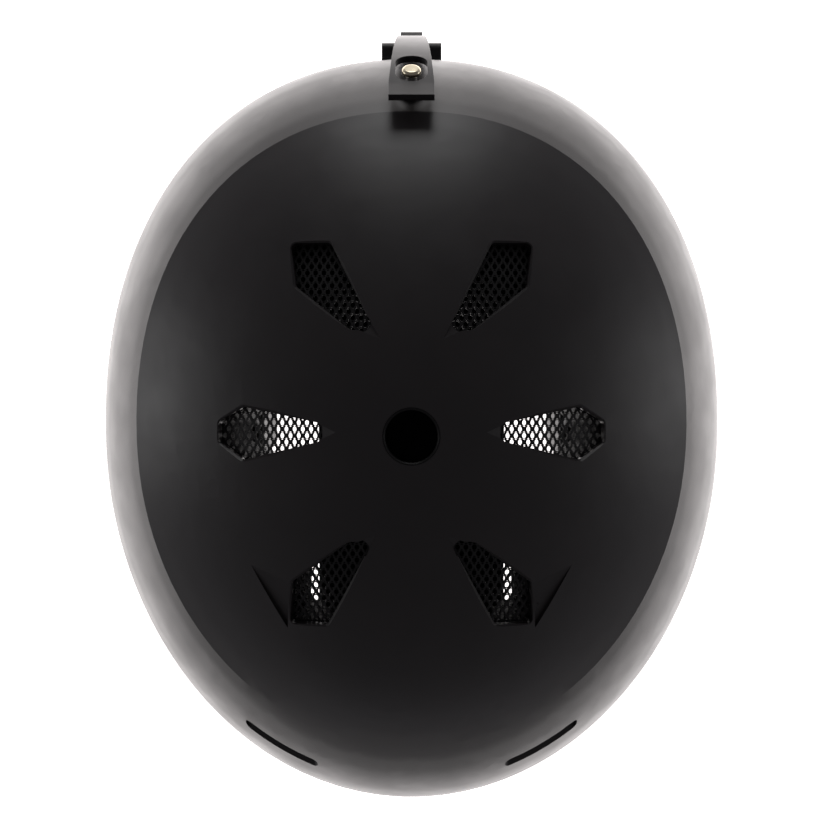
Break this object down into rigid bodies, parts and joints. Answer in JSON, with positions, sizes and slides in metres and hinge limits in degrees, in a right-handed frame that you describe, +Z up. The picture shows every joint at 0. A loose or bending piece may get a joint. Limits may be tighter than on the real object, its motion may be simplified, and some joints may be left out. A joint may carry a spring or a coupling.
{
  "type": "ski helmet",
  "caption": "Ski helmet: creased matt shell over a foam liner with meshed vents, ear pads, webbing chin strap with buckle, rear fit dial and a hinged goggle-strap clip.",
  "frame": {"origin": "on the axis of the round crown vent, level with the front edge of the brow; the wearer's head fills the space around it", "axes": "+Z up through the crown, +Y to the rear, -Y to the front, +X to the wearer's left"},
  "size_m": [0.228, 0.2873, 0.2938],
  "materials": {
    "shell_abs": "satin black moulded ABS",
    "trim_rubber": "matt black soft edge trim",
    "liner_foam": "black expanded polystyrene with fine beads",
    "mesh_plastic": "black moulded mesh",
    "pad_fabric": "black brushed knit over foam",
    "moulded_nylon": "black moulded nylon",
    "webbing": "black woven polyester webbing",
    "clip_plastic": "semi-gloss black moulded lever",
    "knob_plastic": "fluted dark grey dial",
    "fastener_steel": "plain steel",
    "stud_cap": "pale nickel-brass snap cap"
  },
  "bodies": {
    "helmet": {"brow_pad": "pad_fabric", "brow_vent_inserts": "mesh_plastic", "buckle_female": "moulded_nylon", "chin_pad": "pad_fabric", "cradle_pad": "pad_fabric", "crown_pad": "pad_fabric", "crown_vent_collar": "mesh_plastic", "dial_housing": "moulded_nylon", "ear_pad_carrier_left": "moulded_nylon", "ear_pad_carrier_right": "moulded_nylon", "ear_pad_left": "pad_fabric", "ear_pad_right": "pad_fabric", "eps_liner": "liner_foam", "fit_cradle": "moulded_nylon", "front_strap_anchor_left": "moulded_nylon", "front_strap_anchor_right": "moulded_nylon", "front_strap_left": "webbing", "front_strap_right": "webbing", "front_vent_meshes": "mesh_plastic", "goggle_clip_base": "moulded_nylon", "goggle_clip_pin": "fastener_steel", "goggle_clip_rivets": "fastener_steel", "goggle_snap_cap": "stud_cap", "goggle_snap_stud": "fastener_steel", "lower_strap_right": "webbing", "mid_vent_meshes": "mesh_plastic", "outer_shell": "shell_abs", "rear_crown_pad": "pad_fabric", "rear_pad": "pad_fabric", "rear_strap_anchor_left": "moulded_nylon", "rear_strap_anchor_right": "moulded_nylon", "rear_strap_left": "webbing", "rear_strap_right": "webbing", "rear_vent_meshes": "mesh_plastic", "rim_trim": "trim_rubber", "strap_slider_left": "moulded_nylon", "strap_slider_right": "moulded_nylon", "temple_pad_left": "pad_fabric", "temple_pad_right": "pad_fabric"},
    "goggle_lever": {"goggle_clip_lever": "clip_plastic"},
    "fit_dial": {"dial_knob": "knob_plastic", "dial_pinion": "moulded_nylon"},
    "band_left": {"fit_band_left": "moulded_nylon"},
    "band_right": {"fit_band_right": "moulded_nylon"},
    "buckle_plug": {"buckle_male": "moulded_nylon", "lower_strap_left": "webbing"},
    "prong_front": {"buckle_prong_front": "moulded_nylon"},
    "prong_rear": {"buckle_prong_rear": "moulded_nylon"}
  },
  "joints": [
    {"name": "goggle_clip_hinge", "type": "hinge", "parent": "helmet", "child": "goggle_lever", "pos_m": [0, 0.1448, 0], "axis": [-1, 0, 0], "range_deg": [0, 100]},
    {"name": "fit_dial_turn", "type": "hinge", "parent": "helmet", "child": "fit_dial", "pos_m": [0, 0.11, -0.05], "axis": [0, 1, 0], "range_deg": [0, 120]},
    {"name": "band_left_slide", "type": "slide", "parent": "helmet", "child": "band_left", "axis": [-1, 0, 0], "range_m": [0, 0.0074]},
    {"name": "band_right_slide", "type": "slide", "parent": "helmet", "child": "band_right", "axis": [1, 0, 0], "range_m": [0, 0.0074]},
    {"name": "buckle_release", "type": "slide", "parent": "helmet", "child": "buckle_plug", "axis": [1, 0, 0], "range_m": [0, 0.022], "deforming": ["lower_strap_left"]},
    {"name": "prong_front_squeeze", "type": "slide", "parent": "buckle_plug", "child": "prong_front", "axis": [0, 0.7826, -0.6225], "range_m": [0, 0.0018], "stiffness_N_per_m": 400},
    {"name": "prong_rear_squeeze", "type": "slide", "parent": "buckle_plug", "child": "prong_rear", "axis": [0, -0.7826, 0.6225], "range_m": [0, 0.0018], "stiffness_N_per_m": 400}
  ],
  "couplings": [
    {"joint": "band_left_slide", "follows": "fit_dial_turn", "m_per_rad": 0.0035},
    {"joint": "band_right_slide", "follows": "fit_dial_turn", "m_per_rad": 0.0035},
    {"joint": "prong_rear_squeeze", "follows": "prong_front_squeeze", "ratio": 1}
  ]
}
